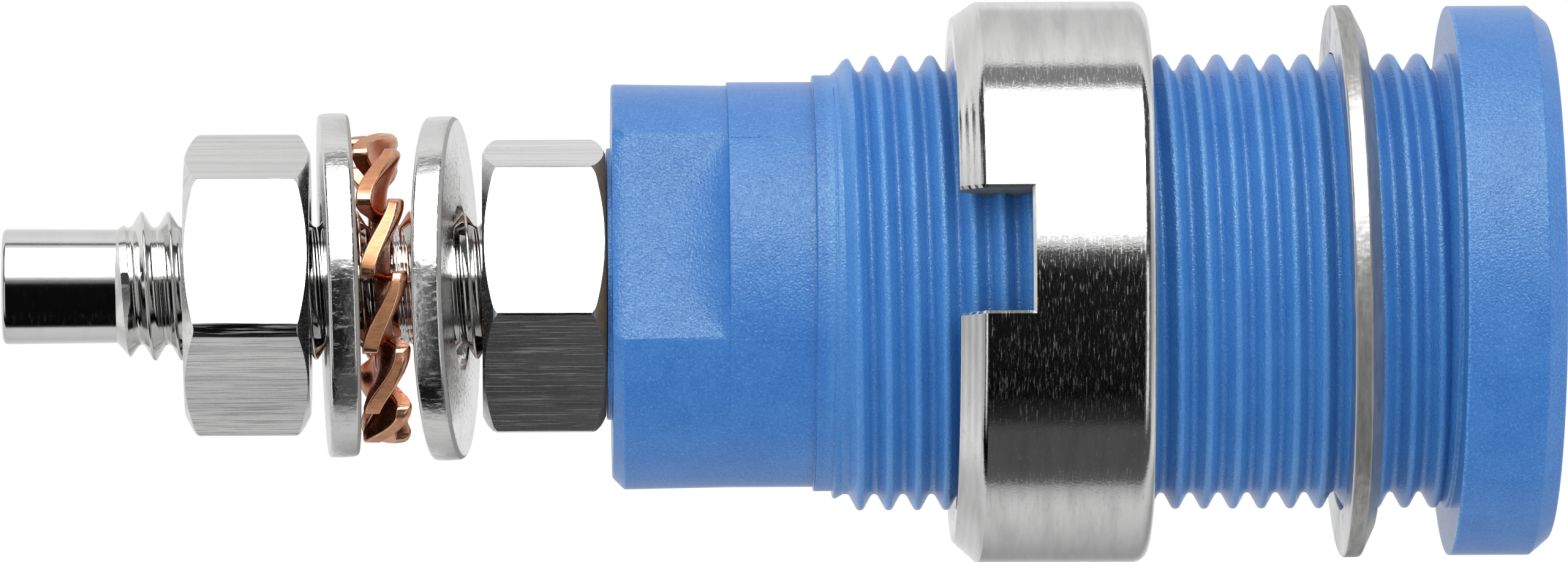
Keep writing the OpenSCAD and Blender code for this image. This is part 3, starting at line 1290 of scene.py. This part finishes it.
@dataclass
class HexNut:
    """Hexagon nut of drawn bar with both ends chamfered."""

    piece: Piece
    front: float
    turn: float
    rise: float
    width: float = 7.04
    thickness: float = 3.22
    face_radius: float = 3.42
    chamfer_slope: float = 27.0
    chamfer_round: float = 0.25
    nut_share: float = 0.6923
    front_shade: float = 0.0
    shade_start: float = 0.6
    shade_radius: float = 3.0
    corner_round: float = 0.1
    near_corner_round: float = 0.1
    near_corner_turn: float = -30.0
    bore_radius: float = 1.99
    countersink: float = 0.3
    edge: float = 0.025
    steps: int = 144

    def envelope(self) -> Object:
        """Turned ring that gives the nut its chamfers and its bore.

        Returns:
            The ring, in place.
        """
        front, rear, face = self.front, self.front - self.thickness, self.face_radius
        reach, ease, lean = self.width / math.sqrt(3), self.chamfer_round, self.chamfer_slope
        slope, bore, sink = math.radians(lean), self.bore_radius, self.countersink
        fall = (reach - face) * math.tan(slope) + ease * math.tan((math.pi / 2 - slope) / 2)
        return Bench.turned("nut_envelope", [
            (rear, bore + sink), (rear, face),
            *corner((rear + fall, reach - ease), ease, 180 - lean, 90, 5),
            *corner((front - fall, reach - ease), ease, 90, lean, 5),
            (front, face), (front, bore + sink), (front - sink, bore), (rear + sink, bore),
        ], self.steps)

    def round_corners(self, bar: Object, near: bool, radius: float) -> None:
        """Round the corners of the hexagonal bar.

        Args:
            bar: The plain bar.
            near: Whether to round the one corner just below the viewer's level or all others.
            radius: Radius of the rounding.
        """
        Bench.unselect(bar)
        for edge in bar.data.edges:
            first, last = (bar.data.vertices[i].co for i in edge.vertices)
            level = math.degrees(math.atan2(first.z, -first.y))
            lengthwise = abs(first.x - last.x) > self.thickness * 0.9 * MM
            at_corner = abs(level - self.turn - self.near_corner_turn) < 10
            edge.select = lengthwise and at_corner == near
        bpy.ops.object.mode_set(mode="EDIT")
        bpy.ops.mesh.select_mode(type="EDGE")
        offset = radius * math.tan(math.radians(30)) * MM
        bpy.ops.mesh.bevel(offset=offset, segments=4, affect="EDGES")
        Bench.leave()

    def build(self, finishes: Finishes) -> None:
        """Model and dress the nut.

        Args:
            finishes: The part's finishes.
        """
        corner_radius = self.width / 2 / math.cos(math.pi / 6)
        middle = (self.front - self.thickness / 2) * MM
        Bench.clear()
        bpy.ops.mesh.primitive_cylinder_add(
            vertices=6, radius=corner_radius * MM, depth=self.thickness * MM,
            location=(middle, 0, 0), rotation=(0, math.pi / 2, 0),
        )
        nut = Bench.new_object("hexagon")
        Bench.place(nut, turn=(30 - self.turn, 0, 0))
        self.round_corners(nut, False, self.corner_round)
        self.round_corners(nut, True, self.near_corner_round)
        Bench.combine(nut, self.envelope(), Cut.KEEP_INSIDE, self.nut_share)
        Bench.clean(nut)
        Bench.break_edges(nut, self.edge, 20, 2)
        Bench.mark(nut, sloped(self.shade_start, self.shade_radius), self.front_shade)
        Bench.place(nut, (0, 0, self.rise))
        Bench.smooth(nut, 30)
        self.piece.hand_over(nut, finishes.drawn)


@dataclass
class FlatWasher:
    """Stamped flat washer with rounded edges."""

    piece: Piece
    move: Triple
    turn: Triple
    outer_radius: float = 4.5
    bore_radius: float = 2.15
    bore_edge: float = 0.05
    thickness: float = 0.8
    rear_edge: float = 0.1
    front_edge: float = 0.16
    rim_crown: float = 0.012
    rim_lean: float = 2.0
    shade: float = 0.7
    shade_start: float = 0.3
    shade_reach: float = 1.5
    steps: int = 144

    def build(self, finishes: Finishes) -> None:
        """Model and dress the washer.

        Args:
            finishes: The part's finishes.
        """
        half, rim, bore = self.thickness / 2, self.outer_radius - self.rim_crown, self.bore_radius
        rear, front, sink, lean = self.rear_edge, self.front_edge, self.bore_edge, self.rim_lean
        washer = Bench.turned("flat_washer", [
            (-half, bore + sink), *corner((-half + rear, rim - rear), rear, 180, 90 + lean),
            ((rear - front) / 2, self.outer_radius),
            *corner((half - front, rim - front), front, 90 - lean, 0),
            (half, bore + sink), (half - sink, bore), (-half + sink, bore),
        ], self.steps)
        Bench.mark(washer, sloped(self.shade_start, bore * self.shade_reach), self.shade)
        Bench.place(washer, self.move, self.turn)
        Bench.smooth(washer, 30)
        self.piece.hand_over(washer, finishes.stamped)


@dataclass
class LockWasher:
    """Copper-coloured lock washer with a fan of twisted teeth."""

    ring_radius: float = 2.95
    bore_radius: float = 2.15
    ring_edge: float = 0.05
    ring_steps: int = 96
    tip_radius: float = 4.05
    sheet: float = 0.42
    root_overlap: float = 0.35
    root_width: float = 1.4
    tip_width: float = 2.16
    lean: float = 0.42
    lean_reach: Point = (0.15, 0.7)
    tip_bevel: float = 0.24
    edge_share: float = 0.2
    wear_reach: Point = (-0.3, 1.1)
    at_end: float = 0.999
    corner: float = 0.24
    corner_drop: float = 0.2
    teeth: int = 12
    tooth_turn: float = 9.5
    move: Triple = (-27.88, 0, -0.09)
    turn: Triple = (0, -2.2, 2)
    piece: Piece = field(default_factory=lambda: Piece(
        "lock_washer_copper", "lock_washer", "lock_washer", Slot.COPPER))

    @property
    def root(self) -> float:
        """Distance from the axis at which a tooth starts, inside the ring."""
        return self.ring_radius - self.root_overlap

    @property
    def length(self) -> float:
        """Length of a tooth in its middle."""
        return self.tip_radius - self.root

    def ring(self) -> Object:
        """Flat ring that carries the teeth.

        Returns:
            The ring about the origin.
        """
        half, bore, rim = self.sheet / 2, self.bore_radius, self.ring_radius
        outline = [(-half, bore), (-half, rim), (half, rim), (half, bore)]
        ring = Bench.turned("lock_ring", outline, self.ring_steps)
        Bench.break_edges(ring, self.ring_edge, 30, 2)
        return ring

    def edge_weight(self, first: Vector, last: Vector) -> float:
        """Weight by which an edge of the flat tooth is rubbed, most at the tip's upper front.

        Args:
            first: One end of the edge.
            last: Its other end.

        Returns:
            The weight.
        """
        ends = (first, last)
        at_tip = all(p.y < -self.length * self.at_end for p in ends)
        at_side = all(abs(p.z) > self.at_end for p in ends)
        flat = abs(first.x - last.x) < NEAR / 10
        if at_tip and flat and not at_side and first.x > 0:
            worn = soft_share((first.z + last.z) / 2, *self.wear_reach)
            return self.edge_share + (1 - self.edge_share) * worn
        return self.edge_share if flat and (at_tip or at_side) or at_tip and at_side else 0.0

    def blank(self) -> Object:
        """Flat tooth before it is twisted, from the ring towards the viewer and 2 mm high.

        Returns:
            The blank, one sheet thick, with rubbed edges.
        """
        Bench.clear()
        bpy.ops.mesh.primitive_grid_add(
            x_subdivisions=24, y_subdivisions=6, size=1, rotation=(0, math.pi / 2, 0),
            location=(-self.sheet / 2 * MM, -self.length / 2 * MM, 0),
        )
        bpy.context.object.scale = (2 * MM, self.length * MM, 1)
        tooth = Bench.new_object("lock_tooth")
        Bench.edit(tooth)
        thick = (self.sheet * MM, 0, 0)
        bpy.ops.mesh.extrude_region_move(TRANSFORM_OT_translate={"value": thick})
        Bench.clean(tooth)
        Bench.rub(tooth, self.tip_bevel, 4, self.edge_weight)
        return tooth

    def tooth(self) -> Object:
        """One tooth, twisted so that its top leans to the front and its bottom to the rear.

        Returns:
            The tooth, in place on the ring.
        """
        tooth = self.blank()
        for vertex in tooth.data.vertices:
            share = vertex.co.z / MM
            reach = -vertex.co.y / MM / self.length
            half = (self.root_width + (self.tip_width - self.root_width) * reach) / 2
            lean = self.lean * soft_share(reach, *self.lean_reach)
            slope = lean * 1.5 * (1 - share * share) / half
            away = vertex.co.x / MM / math.hypot(1, slope)
            height = share * half
            past = max(abs(share) - 1 + self.corner, 0.0) / self.corner
            end = math.sqrt(self.tip_radius**2 - height**2) - self.root
            end -= self.corner_drop * (1 - math.sqrt(max(1 - past**2, 0.0)))
            vertex.co.x = (lean * (1.5 * share - 0.5 * share**3) + away) * MM
            vertex.co.y = -reach * end * MM
            vertex.co.z = (height - away * slope) * MM
        Bench.mark(tooth, lambda face: face.normal.y < -0.9 and abs(face.normal.x) < 0.1)
        Bench.place(tooth, (0, -self.root, 0))
        return tooth

    def build(self, finishes: Finishes) -> None:
        """Model and dress the lock washer.

        Args:
            finishes: The part's finishes.
        """
        ring, first = self.ring(), self.tooth()
        teeth = [first]
        for i in range(1, self.teeth):
            Bench.pick(first)
            bpy.ops.object.duplicate()
            teeth.append(bpy.context.object)
            Bench.place(teeth[-1], turn=(360 * i / self.teeth, 0, 0))
        Bench.join(ring, teeth)
        Bench.place(ring, turn=(self.tooth_turn, 0, 0))
        Bench.place(ring, self.move, self.turn)
        Bench.smooth(ring, 62)
        self.piece.hand_over(ring, finishes.copper)


@dataclass
class RingNut:
    """Round panel nut with a spanner slot across its rear."""

    radius: float = 7.337
    front: float = -7.89
    rear: float = -12.97
    rear_edge_radius: float = 6.85
    chamfer_front: float = -12.35
    chamfer_lift: float = 0.07
    chamfer_round: float = 0.25
    groove: float = 0.009
    groove_waves: Point = (2.4, 0.7)
    groove_steps: int = 12
    front_round: float = 0.4
    bore_radius: float = 6.0
    countersink: float = 0.35
    slot_width: float = 3.17
    slot_depth: float = 1.84
    slot_turn: float = 7.0
    slot_share: float = 0.947
    slot_reach: float = 30.0
    slot_near: float = 0.002
    thread_share: float = 0.942
    margin: float = 0.1
    edge: float = 0.085
    steps: int = 108
    piece: Piece = field(default_factory=lambda: Piece(
        "ring_nut_nickel", "ring_nut", "ring_nut", Slot.NICKEL))
    thread: ThreadRidge = field(default_factory=lambda: ThreadRidge(
        6.0, 5.62, 0.75, 0.06, 29.0, -12.38, -8.63, 0.03))

    @property
    def slot_end(self) -> float:
        """Place along the axis where the slot ends."""
        return self.rear + self.slot_depth

    @property
    def across(self) -> Vector:
        """Direction across the slot."""
        lean = math.radians(self.slot_turn)
        return Vector((0, math.sin(lean), math.cos(lean)))

    def section(self) -> list[Point]:
        """Half section of the nut without its slot.

        Returns:
            Closed outline from the rear bore around the outside to the front bore.
        """
        bore, sink, ease = self.bore_radius, self.countersink, self.chamfer_round
        rear, edge = (self.rear, self.rear_edge_radius), (self.chamfer_front, self.radius)
        slope = math.atan2(edge[1] - rear[1], edge[0] - rear[0])
        tangent = ease * math.tan(slope / 2)
        share = 1 - tangent / math.dist(rear, edge)
        outline = [(self.rear, bore + sink), rear]
        for i in range(1, self.groove_steps):
            x, r = (a + (b - a) * share * i / self.groove_steps for a, b in zip(rear, edge))
            cut = self.groove * math.prod(math.sin(wave * i) for wave in self.groove_waves)
            outline.append((x - cut * math.sin(slope), r + cut * math.cos(slope)))
        middle = (edge[0] + tangent, self.radius - ease)
        outline += corner(middle, ease, 90 + math.degrees(slope), 90, 6)
        middle = (self.front - self.front_round, self.radius - self.front_round)
        outline += corner(middle, self.front_round, 90, 0, 8)
        outline += [(self.front, bore + sink), (self.front - sink, bore), (self.rear + sink, bore)]
        return outline

    def slot_tool(self) -> Object:
        """Bar that cuts the spanner slot.

        Returns:
            The bar, in place across the nut's rear.
        """
        tool = Bench.block("slot_tool", (2 * self.slot_depth, self.slot_reach, self.slot_width))
        Bench.place(tool, (self.rear, 0, 0), (-self.slot_turn, 0, 0))
        return tool

    def lift_chamfer(self, nut: Object) -> None:
        """Set the rear chamfer off centre, so that it is narrower at the top.

        Args:
            nut: The turned nut.
        """
        inside = (self.bore_radius + self.countersink + self.margin) * MM
        for vertex in nut.data.vertices:
            share = (self.chamfer_front - vertex.co.x / MM) / (self.chamfer_front - self.rear)
            if share > 0 and vertex.co.yz.length > inside:
                vertex.co.z += self.chamfer_lift * share * MM

    def edge_weight(self, first: Vector, last: Vector) -> float:
        """Weight by which an edge is rubbed: 1 where the slot meets the outside of the nut.

        Args:
            first: One end of the edge.
            last: Its other end.

        Returns:
            The weight.
        """
        half, near, end = self.slot_width / 2, self.slot_near, self.slot_end
        outside, on_wall, on_end = True, True, True
        for point in (first, last):
            off = abs(point.dot(self.across))
            outside &= point.yz.length > self.rear_edge_radius - self.margin
            on_wall &= abs(off - half) < near and point.x < end + NEAR
            on_end &= abs(point.x - end) < near and off < half + NEAR
        return float(outside and (on_wall or on_end))

    def in_slot(self, face: MeshPolygon) -> bool:
        """Tell whether a face is a wall of the slot.

        Args:
            face: Face of the finished mesh.

        Returns:
            True for both long walls.
        """
        inside = face.center.x < self.slot_end * MM and abs(face.normal.dot(self.across)) > 0.95
        return inside and abs(face.center.dot(self.across)) < self.slot_width * 0.6 * MM

    def build(self, finishes: Finishes) -> None:
        """Model and dress the ring nut.

        Args:
            finishes: The part's finishes.
        """
        nut = Bench.turned("ring_nut", self.section(), self.steps)
        Bench.place(nut, turn=(180 / self.steps - self.slot_turn, 0, 0))
        self.lift_chamfer(nut)
        Bench.combine(nut, self.slot_tool(), Cut.REMOVE, self.slot_share)
        Bench.clean(nut)
        Bench.rub(nut, self.edge, 1, self.edge_weight)
        ridge = self.thread.build("nut_thread")
        Bench.combine(ridge, self.slot_tool(), Cut.REMOVE, self.thread_share)
        Bench.join(nut, [ridge])
        Bench.mark(nut, self.in_slot)
        Bench.smooth(nut, 30)
        self.piece.hand_over(nut, finishes.turned)


@dataclass
class RingWasher:
    """Thin ring behind the head, dished at its front."""

    outer_radius: float = 7.227
    bore_radius: float = 5.98
    thickness: float = 0.787
    bevel: float = 0.327
    bevel_drop: float = 0.67
    rear_edge: float = 0.09
    edge: float = 0.05
    shade_start: float = -0.5
    shade_radius: float = 6.3
    steps: int = 180
    move: Triple = (-2.53, 0, 0)
    turn: Triple = (0, -1.02, 0)
    piece: Piece = field(default_factory=lambda: Piece(
        "ring_washer_nickel", "ring_washer", "ring_washer", Slot.NICKEL))

    def build(self, finishes: Finishes) -> None:
        """Model and dress the ring washer.

        Args:
            finishes: The part's finishes.
        """
        half, rim, edge = self.thickness / 2, self.outer_radius, self.rear_edge
        washer = Bench.turned("ring_washer", [
            (-half, self.bore_radius), *corner((-half + edge, rim - edge), edge, 180, 90, 5),
            (half - self.bevel, rim), (half, rim - self.bevel_drop), (half, self.bore_radius),
        ], self.steps)
        Bench.break_edges(washer, self.edge, 28, 2)
        Bench.mark(washer, sloped(self.shade_start, self.shade_radius))
        Bench.place(washer, self.move, self.turn)
        Bench.smooth(washer, 30)
        self.piece.hand_over(washer, finishes.blanked)


@dataclass
class Studio:
    """Camera, pale floor and the light around the part.

    The levels give the brightness that bright metal shows at angles above the camera, in degrees.
    """

    scale: float = 62.45
    distance: float = 305.0
    camera_place: float = -24.5
    aim_place: float = -17.34
    aim_height: float = 0.062
    roll: float = 0.245
    sensor: float = 36.0
    clip: Point = (0.01, 20.0)
    floor_place: Triple = (-17.5, 0.0, -25.0)
    floor_size: float = 1100.0
    floor_fade: Point = (120.0, 500.0)
    floor_paint: Colour = (0.6, 0.6, 0.6)
    floor_glow: float = 0.15
    light_below: float = 0.88
    light_above: float = 1.38
    levels: tuple[Point, ...] = (
        (-180, 0.85), (-172, 0.7), (-166, 0.5), (-157, 0.345), (-145, 0.38), (-129, 0.51),
        (-116, 0.61), (-106, 0.64), (-101, 0.6), (-96, 0.5), (-92, 0.34), (-90, 0.12),
        (-82, 0.085), (-63, 0.08), (-58, 0.026), (-47, 0.003), (5, 0.008), (13, 0.09),
        (15, 0.72), (20, 1.15), (24, 5.7), (55, 6.4), (68, 5.0), (80, 2.7),
        (87, 0.95), (89, 0.25), (99, 0.24), (102, 0.83), (106, 0.84), (128, 0.67),
        (148, 0.6), (156, 0.8),
    )
    stud_levels: tuple[Point, ...] = (
        (-180, 0.8), (-159, 0.7), (-134, 0.54), (-118, 0.61), (-105, 0.64), (-94, 0.64),
        (-88, 0.03), (-83, 0.003), (-2, 0.004), (4, 0.015), (12, 0.29), (19, 0.95),
        (21, 3.0), (25, 5.6), (55, 5.6), (68, 4.4), (78, 2.4), (85, 0.98),
        (91, 0.6), (93.5, 0.2), (97, 0.2), (99.5, 0.7), (107, 0.85), (120, 0.8),
        (137, 0.74), (168, 0.83),
    )
    stud_side: Point = (-0.02, 0.0)
    box_foot: Point = (6, 12)
    box_top: Point = (97, 101)
    box_end: Point = (0.27, 0.33)
    box_frame: float = 0.06
    card_foot: Point = (-70, -50)
    card_start: Span = (0.26, 0.34, 0, 0.8)
    card_end: Span = (0.5, 0.6, 1, 0)
    card_haze: Span = (0.07, 0.2, 0, 0.12)
    room_rise: Span = (-0.5, 0.5, 0.54, 0.68)
    room_depth: Span = (-0.65, 0.25, 0.5, 1.5)
    room_start: Point = (0.7, 0.8)

    def camera(self) -> None:
        """Set up the camera at the photograph's viewing angle."""
        data = bpy.data.cameras.new("photo_camera")
        obj = bpy.data.objects.new("photo_camera", data)
        bpy.context.scene.collection.objects.link(obj)
        place = Vector((self.camera_place, -self.distance, self.aim_height)) * MM
        aim = Vector((self.aim_place, 0, self.aim_height)) * MM
        ahead = (aim - place).normalized()
        level = ahead.cross(Vector((0, 0, 1))).normalized()
        upright = level.cross(ahead)
        lean = math.radians(self.roll)
        up = upright * math.cos(lean) + level * math.sin(lean)
        right = level * math.cos(lean) - upright * math.sin(lean)
        turn = Matrix((right, up, -ahead)).transposed()
        obj.matrix_world = Matrix.Translation(place) @ turn.to_4x4()
        data.sensor_width = self.sensor
        data.lens = self.sensor * (aim - place).length / MM / (PHOTO_WIDTH / self.scale)
        data.clip_start, data.clip_end = self.clip
        bpy.context.scene.camera = obj

    def floor(self) -> None:
        """Lay a plain pale floor that keeps the part's shadow."""
        Bench.clear()
        place = [distance * MM for distance in self.floor_place]
        bpy.ops.mesh.primitive_plane_add(size=self.floor_size * MM, location=place)
        floor = Bench.new_object("floor")
        Bench.edit(floor)
        bpy.ops.mesh.subdivide(number_cuts=4)
        Bench.leave()
        material, board = Board.material("pale_floor")
        place = {0: board.add("TexCoord").outputs["Object"]}
        away = board.add("VectorMath", place, operation="LENGTH").outputs[1]
        far = board.span(away, *(distance * MM for distance in self.floor_fade), 0.0, 1.0)
        glow = board.span(far, 0.0, 1.0, self.floor_glow, 1.0)
        paint = board.blend(far, opaque(self.floor_paint), neutral(0.0))
        matt = board.add("BsdfDiffuse", {"Color": paint})
        light = board.add("Emission", {"Strength": glow})
        both = board.add("AddShader", {0: matt.outputs[0], 1: light.outputs[0]})
        board.add("OutputMaterial", {"Surface": both.outputs[0]})
        floor.data.materials.append(material)
        floor.visible_glossy = False

    @staticmethod
    def strip(board: Board, rise: NodeSocket, levels: Sequence[Point]) -> NodeSocket:
        """Brightness of the studio around the part.

        Args:
            board: The world's board.
            rise: Angle above the camera, in degrees.
            levels: Angles with their brightness, in order.

        Returns:
            The colour's socket.
        """
        node = board.add("ValToRGB", {0: board.span(rise, -180, 180, 0, 1)})
        stops = node.color_ramp.elements
        while len(stops) > 1:
            stops.remove(stops[0])
        for i, (angle, level) in enumerate(levels):
            place = (angle + 180) / 360
            stop = stops[0] if i == 0 else stops.new(place)
            stop.position = place
            stop.color = neutral(level)
        return node.outputs[0]

    def mirror(self, board: Board, way: Node) -> NodeSocket:
        """What bright metal shows: a framed soft box, a dark card below it, a pale room around.

        Args:
            board: The world's board.
            way: Node with the parts of the viewing direction.

        Returns:
            The colour's socket.
        """
        along, ahead, up = way.outputs
        toward = board.times(ahead, -1.0)
        rise = board.maths("DEGREES", board.maths("ARCTAN2", up, toward))
        side = board.maths("ABSOLUTE", along)
        over_stud = self.strip(board, rise, self.stud_levels)
        over_nut = self.strip(board, rise, self.levels)
        seen = board.blend(board.span(along, *self.stud_side, 0, 1), over_stud, over_nut)
        edge = board.times(
            board.span(rise, *self.box_foot, 0, 1), board.span(rise, *self.box_top, 1, 0),
            board.span(side, *self.box_end, 0, 1),
        )
        seen = board.blend(edge, seen, neutral(self.box_frame))
        lower = board.times(
            board.span(rise, *self.box_foot, 1, 0), board.span(rise, *self.card_foot, 0, 1)
        )
        card = board.times(board.span(side, *self.card_start), board.span(side, *self.card_end))
        card = board.plus(card, board.span(side, *self.card_haze))
        seen = board.blend(board.times(lower, card), seen, neutral(1.0))
        room = board.times(board.span(up, *self.room_rise), board.span(ahead, *self.room_depth))
        return board.blend(board.span(side, *self.room_start, 0, 1), seen, board.grey(room))

    def light(self) -> None:
        """Set up the world: plain light, more from above, and a studio for bright metal to show."""
        scene = bpy.context.scene
        scene.world = bpy.data.worlds.new("studio")
        scene.world.use_nodes = True
        scene.world.cycles.sampling_method = "NONE"
        board = Board(scene.world.node_tree)
        way = board.add("SeparateXYZ", {0: board.add("TexCoord").outputs["Generated"]})
        path = board.add("LightPath")
        level = board.grey(board.span(way.outputs[2], -1, 1, self.light_below, self.light_above))
        seen = board.blend(path.outputs["Is Glossy Ray"], level, self.mirror(board, way))
        seen = board.blend(path.outputs["Is Camera Ray"], seen, neutral(1.0))
        back = board.add("Background", {"Color": seen, "Strength": 1.0})
        board.add("OutputWorld", {"Surface": back.outputs[0]})
        scene.view_settings.view_transform = "Standard"

    def build(self) -> None:
        """Set up camera, floor and light."""
        self.camera()
        self.floor()
        self.light()


def main() -> None:
    """Build the pieces from the front to the rear, then the studio."""
    logging.basicConfig(level=logging.INFO, format="%(name)s %(message)s")
    finishes = Finishes()
    InsulatingBody().build(finishes)
    RingWasher().build(finishes)
    RingNut().build(finishes)
    inner_nut = Piece("inner_nut_nickel", "inner_nut", "socket", Slot.NICKEL)
    HexNut(inner_nut, -22.0, 19.6, -0.026, front_shade=1.0).build(finishes)
    inner = Piece("inner_washer_nickel", "inner_washer", "inner_washer", Slot.NICKEL)
    FlatWasher(inner, (-26.17, 0, -0.09), (0, -1.1, -6.4)).build(finishes)
    LockWasher().build(finishes)
    outer = Piece("outer_washer_nickel", "outer_washer", "outer_washer", Slot.NICKEL)
    FlatWasher(outer, (-28.975, 0, 0), (0, -1.7, 2.4)).build(finishes)
    outer_nut = Piece("outer_nut_nickel", "outer_nut", "outer_nut", Slot.NICKEL)
    HexNut(
        outer_nut, -29.71, 12.9, 0.02, width=7.01, thickness=3.26, near_corner_round=0.42
    ).build(finishes)
    SocketContact().build(finishes)
    Studio().build()


if __name__ == "__main__":
    main()
